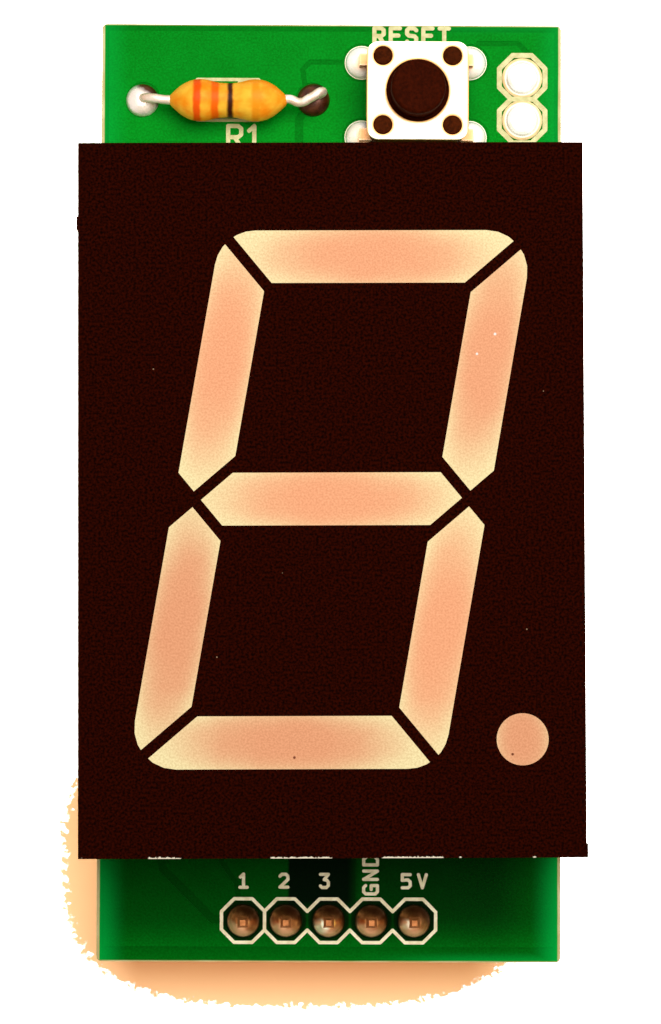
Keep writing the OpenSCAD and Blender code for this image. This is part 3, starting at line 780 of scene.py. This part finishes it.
# ---- Display ---------------------------------------------
# A white housing with eight wells of cast resin over its light sources.  A substrate
# closes its back, and a dark coat covers its face between the segments.

substrate = Finish("substrate_laminate", Roughness=0.55)
substrate.clouded(1.2, 5, paint(196, 186, 138), paint(222, 212, 168), 0.01)
substrate.on("display_substrate")

light_source = Finish("light_source", Roughness=0.3)
light_source.clouded(6, 2, paint(210, 160, 60), paint(250, 214, 120))
light_source.on("led_chips")

housing = Finish("housing_plastic", Roughness=0.42)
housing.clouded(0.3, 3, paint(243, 235, 213), paint(249, 242, 223))
housing.bumped(housing.clouds(9, 3), 0.015)
housing.on("display_housing")

face_z = span("face_coat")[1].z


def measured(tree, place, origin, turn=0.0, size=(1, 1, 1)):
    """A place measured from an origin, along turned sides and in units of a size."""
    inputs = {"Vector": place, "Location": origin, "Rotation": (0, 0, turn), "Scale": size}
    return add(tree, "Mapping", inputs, vector_type="TEXTURE").outputs[0]


coat = Finish("face_coat", Roughness=0.75, Specular_IOR_Level=0.005)
tree = coat.tree
face_mid = centre("face_coat")
face_turn = math.radians(0.38)
face_half = 20.0
x, y, _ = coat.split(measured(tree, coat.mm, face_mid, face_turn))
cloudy = coat.grained(7, 4, paint(14, 2, 1), paint(50, 9, 1))
# Sparse specks of dust: a few cells out of many have one
speck_r = 0.06
speck_share = 0.04
cells = add(tree, "TexVoronoi", {"Vector": coat.mm, "Scale": 1.1}).outputs
draw = add(tree, "SeparateColor", {"Color": cells["Color"]}).outputs[0]
speck = between(tree, cells["Distance"], speck_r, speck_r / 2)
speck = calc(tree, "MULTIPLY", calc(tree, "LESS_THAN", draw, speck_share), speck)
colour = mixed(tree, speck, cloudy["Color"], paint(150, 120, 92))
# Along the lower edge the coat has chipped off, and the white plastic shows
chips = ((-14, -13.9), (-10.3, -8.4), (-3.5, 0.0), (2.7, 6.2), (7.0, 7.2), (11.1, 11.35))
ragged = calc(tree, "MULTIPLY", coat.clouds(6, 4), 0.3)
depth = calc(tree, "SUBTRACT", calc(tree, "ADD", y, face_half), ragged)
chipped = 0.0
for low, high in chips:
    left, right = between(tree, x, low, low + 0.1), between(tree, x, high, high - 0.1)
    chipped = calc(tree, "MAXIMUM", calc(tree, "MULTIPLY", left, right), chipped)
chipped = calc(tree, "MULTIPLY", chipped, between(tree, depth, -0.06, -0.1))
coat.feed("Base Color", mixed(tree, chipped, colour, paint(240, 226, 198)))
coat.bumped(cloudy["Height"], 0.02)
coat.on("face_coat")


def wander(finish, scale, detail):
    """A small cloudy offset, to either side of nothing."""
    offset = calc(finish.tree, "SUBTRACT", finish.clouds(scale, detail), 0.5)
    return calc(finish.tree, "MULTIPLY", offset, 0.3)


lean = math.radians(10)
# Whether upright, how bright, and how far up the centre of the glow is
segments = {
    "segment_a": (False, 0.99, 0),
    "segment_b": (True, 0.975, 0.11),
    "segment_c": (True, 1.0, 0),
    "segment_d": (False, 0.95, 0),
    "segment_e": (True, 0.95, 0.03),
    "segment_f": (True, 1.0, 0.08),
    "segment_g": (False, 1.0, 0),
    "decimal_point": (None, 0.94, 0),
}
resin_core = (253, 176, 129)
resin_end = (255, 237, 179)
# Specks in the resin: their place, their radius and their colour
blemishes = {
    "segment_d": [(-2.01, -15.37, 0.1, (126, 64, 36))],
    "decimal_point": [(10.14, -15.14, 0.1, (120, 62, 34))],
    "segment_b": [(9.12, 8.32, 0.1, (255, 252, 244)), (8.11, 7.2, 0.09, (255, 252, 244))],
}
# Half sizes of the glow in a segment, and in the decimal point
segment_half = (6.9, 1.5, 1)
point_half = (1.9, 1.9, 1)
for node, (upright, level, lift) in segments.items():
    resin = Finish("resin_" + node, Roughness=0.5, Specular_IOR_Level=0.1)
    tree = resin.tree
    turn = math.radians(90) - lean if upright else 0.0
    half = point_half if upright is None else segment_half
    along, across, _ = resin.split(measured(tree, resin.mm, centre(node), turn, half))
    # The glow fades from its centre along the segment, and toward the sides
    along = calc(tree, "SUBTRACT", along, lift)
    far = calc(tree, "POWER", calc(tree, "ABSOLUTE", along), 2.0)
    side = calc(tree, "POWER", calc(tree, "ABSOLUTE", across), 2.5)
    glow = calc(tree, "ADD", far, calc(tree, "MULTIPLY", side, 0.5))
    glow = calc(tree, "ADD", glow, wander(resin, 0.55, 3))
    core = paint(*(channel * level for channel in resin_core))
    colour = mixed(tree, between(tree, glow, 0.0, 1.25), core, paint(*resin_end))
    for at_x, at_y, size, tone in blemishes.get(node, ()):
        off = add(tree, "VectorMath", {0: resin.mm, 1: (at_x, at_y, face_z)}, operation="DISTANCE")
        dot = between(tree, off.outputs["Value"], size, size * 0.5)
        colour = mixed(tree, dot, colour, paint(*tone))
    fine = resin.grained(9, 3, paint(234, 228, 222), paint(255, 255, 255))
    resin.feed("Base Color", mixed(tree, 1.0, colour, fine["Color"], blend_type="MULTIPLY"))
    resin.bumped(fine["Height"], 0.01)
    resin.on(node)

# ---- Reset button ----------------------------------------
# A dark base holds the contacts, the snap dome and the plunger.  A pressed metal cover
# is held by four posts, whose heads are staked over it.

base_plastic = Finish("switch_base", Roughness=0.5, Specular_IOR_Level=0.01)
base_plastic.clouded(5, 5, paint(50, 17, 2), paint(76, 28, 4), 0.03)
base_plastic.on("switch_base")

spring = Finish("spring_metal", Metallic=1.0, Roughness=0.25)
spring.clouded(2, 3, paint(200, 196, 186), paint(235, 230, 220))

dome_low, dome_high = span("switch_dome")
dome_t = 0.08
dome_r = (dome_high.x - dome_low.x) / 2
dome_rise = dome_high.z - dome_low.z - dome_t
dish = [
    (dome_r * (8 - step) / 8, dome_rise * math.sin(math.radians(90) * step / 8))
    for step in range(9)
]
over = [(radius, height + dome_t) for radius, height in dish]
bm = bmesh.new()
turned(bm, dish[::-1] + over, put(button_mid.x, button_mid.y, dome_low.z), 32)
snap = shape_of("snap_dome", bm)
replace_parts(piece(snap, spring), "switch_dome")
press = frame["record"]["behaviour"]["joints"][0]
left = 1 - press["range_m"][1] / MM / (dome_rise + dome_t)
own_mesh(snap)


def away(finish, mid):
    """How far it is from a middle, across the board and along it, to either side."""
    tree = finish.tree
    return [
        calc(tree, "ABSOLUTE", calc(tree, "SUBTRACT", value, at))
        for value, at in zip(finish.split(), mid.xy)
    ]


# Yellow plating, with painted shade along the outline and round the holes
cover = Finish("switch_cover", Metallic=0.5, Roughness=0.4)
tree = cover.tree
cloudy = cover.grained(1.5, 5, paint(250, 240, 200), paint(255, 250, 216))
cover_low, cover_high = span("switch_cover")
post_out = 2.05
post_hole_r = 0.565
stem_hole_r = 1.85
edge_shade_rim = 0.2
hole_shade_ring = 0.22
outward = away(cover, button_mid)
half = (cover_high.x - cover_low.x) / 2
# Painted shade along the outline, and in a ring round each hole
edge_shade = between(tree, calc(tree, "MAXIMUM", *outward), half - edge_shade_rim, half)
for hole_out, hole_r in ((0, stem_hole_r), (post_out, post_hole_r)):
    off = length(tree, *(calc(tree, "SUBTRACT", out, hole_out) for out in outward))
    ring = between(tree, off, hole_r + hole_shade_ring, hole_r)
    edge_shade = calc(tree, "MAXIMUM", edge_shade, ring)
cover.feed("Base Color", mixed(tree, edge_shade, cloudy["Color"], paint(206, 142, 70)))
cover.bumped(cloudy["Height"], 0.01)

cover_t = 0.25
cover_r = 0.7
cover_roll = 0.12
flap_half = 1.2
flap_t = 0.2

bm = bmesh.new()
plate_z = cover_high.z - cover_t
box(bm, (cover_low.x, cover_low.y, plate_z), cover_high)
upright = [edge for edge in bm.edges if abs(edge.verts[0].co.z - edge.verts[1].co.z) > MM * 0.1]
rounded(bm, upright, cover_r, 8)
pressed = shape_of("switch_cover_pressed", bm)
bm = bmesh.new()
low_y, high_y = button_mid.y - flap_half, button_mid.y + flap_half
left_x, right_x = cover_low.x + flap_t, cover_high.x - flap_t
for low_x, high_x in ((cover_low.x, left_x), (right_x, cover_high.x)):
    box(bm, (low_x, low_y, cover_low.z), (high_x, high_y, cover_high.z))
combine(pressed, shape_of("flaps", bm), "UNION")
bm = bmesh.new()
hole_low, hole_h = plate_z - cover_t, 3 * cover_t
discs(bm, [button_mid], stem_hole_r, hole_low, hole_h)
discs(bm, corners(button_mid, post_out, post_out), post_hole_r, hole_low, hole_h)
combine(pressed, shape_of("holes", bm), "DIFFERENCE")
roll = pressed.modifiers.new("roll", "BEVEL")
roll.width = cover_roll * MM
roll.segments = 3
roll.limit_method = "ANGLE"
roll.angle_limit = math.radians(50)
settled(pressed, 50)
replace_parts(piece(pressed, cover), "switch_cover")

plunger = Finish("plunger_plastic", Roughness=0.6, Specular_IOR_Level=0.01)
plunger.clouded(6, 4, paint(42, 9, 1), paint(60, 15, 2), 0.02)
plunger.on("switch_plunger")

# Low domes of solder on the pads, up to the base's sides; by the legs it is painted browner, as
# shade
leg_solder = Finish("leg_solder", Metallic=0.6, Roughness=0.4)
tree = leg_solder.tree
out_x, out_y = away(leg_solder, button_mid)
off_leg = calc(tree, "ABSOLUTE", calc(tree, "SUBTRACT", out_y, leg_y))
cloudy = leg_solder.grained(1.3, 4, paint(255, 246, 222), paint(255, 254, 244))
beside = between(tree, out_x, 3.95, 3.25)
shade_by_leg = calc(tree, "MULTIPLY", beside, between(tree, off_leg, 0.8, 0.2))
leg_solder.feed("Base Color", mixed(tree, shade_by_leg, cloudy["Color"], paint(208, 146, 92)))
leg_solder.bumped(cloudy["Height"], 0.02)
leg_solder.on("switch_contacts")
bm = bmesh.new()
dome_foot = board_top + pad_t - 0.01
dome = [(0, 0), (0.98, 0), (0.96, 0.07), (0.86, 0.17), (0.68, 0.26), (0.42, 0.33), (0, 0.36)]
for place in leg_spots:
    turned(bm, dome, put(place.x, place.y, dome_foot))
beads = shape_of("leg_beads", bm)
bm = bmesh.new()
base_low, base_high = span("switch_base")
box(bm, base_low, base_high)
combine(beads, shape_of("footprint", bm), "DIFFERENCE")
piece(beads, leg_solder)

# ---- Resistor --------------------------------------------
# A lacquered body with four colour bands, on two tinned leads.  The leads are bent down
# through their holes, and soldered on both faces.

resistor = Finish("resistor_coat", Roughness=0.45, Specular_IOR_Level=0.12)
tree = resistor.tree
cloudy = resistor.grained(0.9, 4, paint(252, 142, 12), paint(255, 194, 56))
x = calc(tree, "ADD", resistor.split()[0], wander(resistor, 0.9, 4))
colour = cloudy["Color"]
# Bands: how far along the body, how wide and which colour
for place, width, tone in (
    (-1.77, 0.42, (240, 84, 0)),
    (-0.72, 0.46, (244, 100, 0)),
    (0.2, 0.32, (58, 16, 2)),
    (1.73, 0.4, (244, 150, 20)),
):
    off = calc(tree, "ABSOLUTE", calc(tree, "SUBTRACT", x, resistor_mid.x + place))
    band = between(tree, off, width / 2 + 0.1, width / 2 - 0.1)
    colour = mixed(tree, band, colour, paint(*tone))
resistor.feed("Base Color", colour)
resistor.bumped(cloudy["Height"], 0.05)

# The body sits a little to the right of its place, and toward the foot of the board
body_shift = 0.06
body_drop = 0.27
body_z = board_top + 1.3
body_at = put(resistor_mid.x + body_shift, resistor_mid.y - body_drop, body_z)
# Half of the body's outline, from an end to its middle: how far along, and the radius
half_body = [(3.5, 0.2), (3.44, 0.31), (3.32, 0.43), (3.12, 0.62), (2.88, 0.82)]
half_body += [(2.6, 1.0), (2.3, 1.14), (2.0, 1.22), (1.7, 1.25), (1.42, 1.24)]
half_body += [(1.15, 1.19), (0.85, 1.11), (0.5, 1.04), (0.2, 1.02)]
profile = [(0, -3.5)] + [(radius, -along) for along, radius in half_body]
profile += [(radius, along) for along, radius in reversed(half_body)] + [(0, 3.5)]
bm = bmesh.new()
turned(bm, profile, body_at @ Matrix.Rotation(math.pi / 2, 4, "Y"))
body = piece(shape_of("resistor_lacquered", bm, 60), resistor)
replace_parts(body, "resistor_body")


def wires(name, routes, thickness):
    """Round wires along smooth routes through points in millimetres."""
    curve = bpy.data.curves.new(name, "CURVE")
    curve.dimensions = "3D"
    curve.bevel_depth = thickness * MM / 2
    curve.bevel_resolution = 5
    curve.resolution_u = 10
    curve.use_fill_caps = True
    for route in routes:
        spline = curve.splines.new("BEZIER")
        spline.bezier_points.add(len(route) - 1)
        for knot, point in zip(spline.bezier_points, route):
            knot.co = Vector(point) * MM
            knot.handle_left_type = knot.handle_right_type = "AUTO"
    drawn = bpy.data.objects.new(name, curve)
    bpy.context.collection.objects.link(drawn)
    graph = bpy.context.evaluated_depsgraph_get()
    bm = bmesh.new()
    bm.from_mesh(bpy.data.meshes.new_from_object(drawn.evaluated_get(graph)))
    bpy.data.objects.remove(drawn)
    return shape_of(name, bm)


hole_left, hole_right = resistor_spots
axis_y = resistor_mid.y - body_drop
tail_z = board_bottom - 0.9
left_lead = [
    (hole_left.x + 2.3, axis_y, body_z),
    (hole_left.x + 1.35, axis_y + 0.03, body_z - 0.02),
    (hole_left.x + 0.62, axis_y + 0.14, body_z - 0.1),
    (hole_left.x + 0.13, hole_left.y - 0.06, body_z - 0.5),
    (hole_left.x, hole_left.y, board_top + 0.1),
    (hole_left.x, hole_left.y, tail_z),
]
right_lead = [
    (hole_right.x - 2.2, axis_y, body_z),
    (hole_right.x - 1.35, axis_y + 0.08, body_z),
    (hole_right.x - 0.75, axis_y - 0.12, body_z + 0.05),
    (hole_right.x - 0.1, axis_y + 0.14, body_z + 0.2),
    (hole_right.x + 0.45, axis_y + 0.5, body_z + 0.1),
    (hole_right.x + 0.62, axis_y + 0.58, body_z - 0.3),
    (hole_right.x + 0.3, hole_right.y + 0.15, board_top + 0.5),
    (hole_right.x, hole_right.y, board_top + 0.1),
    (hole_right.x, hole_right.y, tail_z),
]
lead_metal = Finish("resistor_lead_metal", Metallic=0.55)
cloudy = lead_metal.clouded(1.8, 4, paint(240, 206, 176), paint(255, 240, 222), 0.02)
lead_metal.rough_where(cloudy["Height"], -0.3, 1.4)
leads = wires("resistor_bent_leads", [left_lead, right_lead], lead_d)
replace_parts(piece(leads, lead_metal), "resistor_leads")

# Joints with flux left on them: a painted highlight towards the lower left, and brown flux with
# painted shade on the other side
flux_and_shade_solder = Finish("resistor_joints", Metallic=0.5, Roughness=0.32)
tree = flux_and_shade_solder.tree
x, y, z = flux_and_shade_solder.split()
reach = (hole_right.x - hole_left.x) / 2
inputs = {0: calc(tree, "SUBTRACT", x, hole_left.x), 1: reach, 2: -reach}
across = add(tree, "Math", inputs, operation="WRAP").outputs[0]
diagonal = calc(tree, "ADD", across, calc(tree, "SUBTRACT", y, hole_left.y))
at_right = between(tree, x, resistor_mid.x - 1, resistor_mid.x + 1)
cloudy = flux_and_shade_solder.grained(1.6, 4, paint(56, 22, 6), paint(104, 52, 24))
shift = calc(tree, "ADD", calc(tree, "MULTIPLY", at_right, 2.2), cloudy["Height"])
flux_and_shade = between(tree, calc(tree, "ADD", diagonal, shift), 0.7, 1.3)
flux_and_shade = calc(tree, "MULTIPLY", flux_and_shade, between(tree, z, board_bottom, board_top))
painted_highlight = mixed(tree, cloudy["Height"], paint(255, 226, 204), paint(255, 250, 240))
flux_and_shade_solder.feed("Base Color", mixed(tree, flux_and_shade, painted_highlight, cloudy["Color"]))
flux_and_shade_solder.bumped(cloudy["Height"], 0.05)
barrel_r = 0.39
under = board_bottom - board_top
joint = [(0, under - 0.7), (0.32, under - 0.64), (0.62, under - 0.36), (0.88, under - 0.06)]
joint += [(0.88, under), (barrel_r, under), (barrel_r, 0), (0.98, 0), (0.98, 0.08), (0.9, 0.27)]
joint += [(0.74, 0.44), (0.52, 0.57), (0.27, 0.64), (0, 0.66)]
bm = bmesh.new()
turned(bm, joint, put(hole_left.x - 0.03, hole_left.y - 0.08, board_top, (-0.1, -0.16)))
turned(bm, joint, put(hole_right.x + 0.06, hole_right.y - 0.02, board_top, (0.12, 0)))
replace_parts(piece(shape_of("resistor_beads", bm, 60), flux_and_shade_solder), "resistor_solder")

# ---- Header ----------------------------------------------
# Five square pins in a black strip on the back.  Each comes up through the board, and is
# soldered on the front, with flux left round the joint.

strip_plastic = Finish("header_plastic", Roughness=0.5, Specular_IOR_Level=0.3)
strip_plastic.clouded(5, 5, paint(24, 23, 23), paint(42, 40, 39), 0.02)
strip_plastic.on("header_strip")

pin_gold = Finish("header_metal", Metallic=0.6, Roughness=0.5)
pin_gold.clouded(3, 4, paint(166, 98, 46), paint(196, 122, 66))
pin_gold.on("header_pins")

brown_solder = Finish("header_solder", Metallic=0.85, Roughness=0.35)
tree = brown_solder.tree
cloudy = brown_solder.grained(1.9, 4, paint(164, 98, 46), paint(204, 136, 76))
# Painted light: each joint is shaded dark at its upper right and has a highlight at its lower left
x, y, across, along = from_pin(brown_solder)
toward_light = calc(tree, "ADD", across, calc(tree, "MULTIPLY", along, 2))
toward_light = calc(tree, "SUBTRACT", cloudy["Height"], toward_light)
toward_light = calc(tree, "MULTIPLY", toward_light, 0.5)
colour = mixed(tree, between(tree, toward_light, -0.5, 0.3), paint(98, 52, 20), cloudy["Color"])
colour = mixed(tree, between(tree, toward_light, 0.3, 0.95), colour, paint(238, 190, 140))
# Painted highlights: on which joint, how far from its pin, their radius and their colour
glints = (
    (header_spots[2], -0.45, -0.3, 0.6, (255, 248, 208)),
    (header_spots[2], 0.15, -0.05, 0.36, (255, 196, 90)),
    (header_spots[4], -0.45, -0.12, 0.42, (250, 224, 184)),
)
for place, out_x, out_y, size, tone in glints:
    aside = calc(tree, "SUBTRACT", x, place.x + out_x)
    up = calc(tree, "SUBTRACT", y, place.y + out_y)
    glint = between(tree, length(tree, aside, up), size, size * 0.4)
    colour = mixed(tree, glint, colour, paint(*tone))
# Painted shade: a dark rim round the foot of each joint
off = from_joint(brown_solder)
colour = mixed(tree, between(tree, off, 0.84, 1.0), colour, paint(66, 50, 18))
brown_solder.feed("Base Color", colour)
brown_solder.bumped(cloudy["Height"], 0.02)
barrel_r = 0.56
joint = [(0.25, under), (barrel_r, under), (barrel_r, 0), (0.98, 0), (0.98, 0.09), (0.94, 0.24)]
joint += [(0.86, 0.41), (0.75, 0.57), (0.63, 0.72), (0.52, 0.86), (0.43, 0.98)]
joint += [(0.34, 1.06), (0.25, 1.1)]
slopes = ((0.02, 0), (-0.03, 0.02), (-0.05, -0.03), (0, 0.03), (-0.04, 0))
bm = bmesh.new()
for place, slope in zip(header_spots, slopes):
    turned(bm, joint, put(place.x, place.y, board_top, slope))
joints = piece(shape_of("header_joints", bm, 60), brown_solder)
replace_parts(joints, "header_solder")

# ---- Table and light -------------------------------------
# A pale table under soft light that comes from the upper right.  A tan patch of painted
# shadow shows round the lower end of the board.

table_side = 600
shadow_patch_mid = Vector((-1.75, -22.85, 0))
shadow_patch_half = Vector((14.8, 9.1, 1))
table_grey = (0.8, 0.8, 0.8, 1)
table_white = (6, 6, 6, 1)
table_shadow_tan = (2.1, 1.5, 0.8, 1)
table_glow = (0.35, 0.05, 0, 1)


def seen_by(tree, *kinds):
    """1 for rays of these kinds, and 0 for all others."""
    ray = add(tree, "LightPath").outputs
    seen = 0.0
    for kind in kinds:
        seen = calc(tree, "MAXIMUM", ray[f"Is {kind} Ray"], seen)
    return seen


bm = bmesh.new()
bmesh.ops.create_grid(bm, x_segments=1, y_segments=1, size=table_side * MM / 2)
table = shape_of("table", bm)
table_top = bpy.data.materials.new("table_top")
table_top.use_nodes = True
tree = table_top.node_tree
tree.nodes.clear()
# The painted shadow patch has round corners, and a fine noise makes its edge ragged
here = add(tree, "TexCoord").outputs["Object"]
local = measured(tree, here, shadow_patch_mid * MM, size=shadow_patch_half * MM)
parts = add(tree, "SeparateXYZ", {"Vector": local}).outputs
cubes = [calc(tree, "POWER", calc(tree, "ABSOLUTE", parts[way]), 3) for way in (0, 1)]
uneven = add(tree, "TexNoise", {"Vector": here, "Scale": 2.6 / MM, "Detail": 8}).outputs[0]
reach = calc(tree, "ADD", calc(tree, "ADD", *cubes), calc(tree, "MULTIPLY", uneven, 0.5))
face = mixed(tree, between(tree, reach, 1.23, 1.3), table_shadow_tan, table_white)
face = mixed(tree, seen_by(tree, "Camera"), table_grey, face)
matt = add(tree, "BsdfDiffuse", {"Color": face}).outputs[0]
strength = seen_by(tree, "Camera", "Glossy")
glow = add(tree, "Emission", {"Color": table_glow, "Strength": strength}).outputs[0]
both = add(tree, "AddShader", {0: matt, 1: glow}).outputs[0]
add(tree, "OutputMaterial", {"Surface": both})
table.data.materials.append(table_top)

# A white room, which lights the object only a little
room_light = 0.085
room_tint = (1, 0.9, 0.78, 1)
world = bpy.data.worlds.new("room")
bpy.context.scene.world = world
world.use_nodes = True
tree = world.node_tree
tree.nodes.clear()
seen = seen_by(tree, "Camera", "Glossy", "Transmission")
strength = calc(tree, "MAXIMUM", seen, room_light)
tint = mixed(tree, seen, room_tint, (1, 1, 1, 1))
sky = add(tree, "Background", {"Color": tint, "Strength": strength}).outputs[0]
add(tree, "OutputWorld", {"Surface": sky})

# One large round lamp, in metres
lamp_r = 0.15
lamp_far = 0.34
lamp_way = Vector((0.16, 0.37, 1)).normalized()
lamp_light = 0.985
lamp_data = bpy.data.lights.new("window", "AREA")
lamp_data.shape = "DISK"
lamp_data.size = 2 * lamp_r
spread = lamp_r**2 / (lamp_r**2 + lamp_far**2)
lamp_data.energy = lamp_light * math.pi**2 * lamp_r**2 / (spread * lamp_way.z)
lamp = bpy.data.objects.new("window", lamp_data)
lamp.location = Vector((0, 0, face_z * MM)) + lamp_way * lamp_far
lamp.rotation_euler = lamp_way.to_track_quat("Z", "Y").to_euler()
bpy.context.collection.objects.link(lamp)

bpy.context.scene.view_settings.view_transform = "Standard"
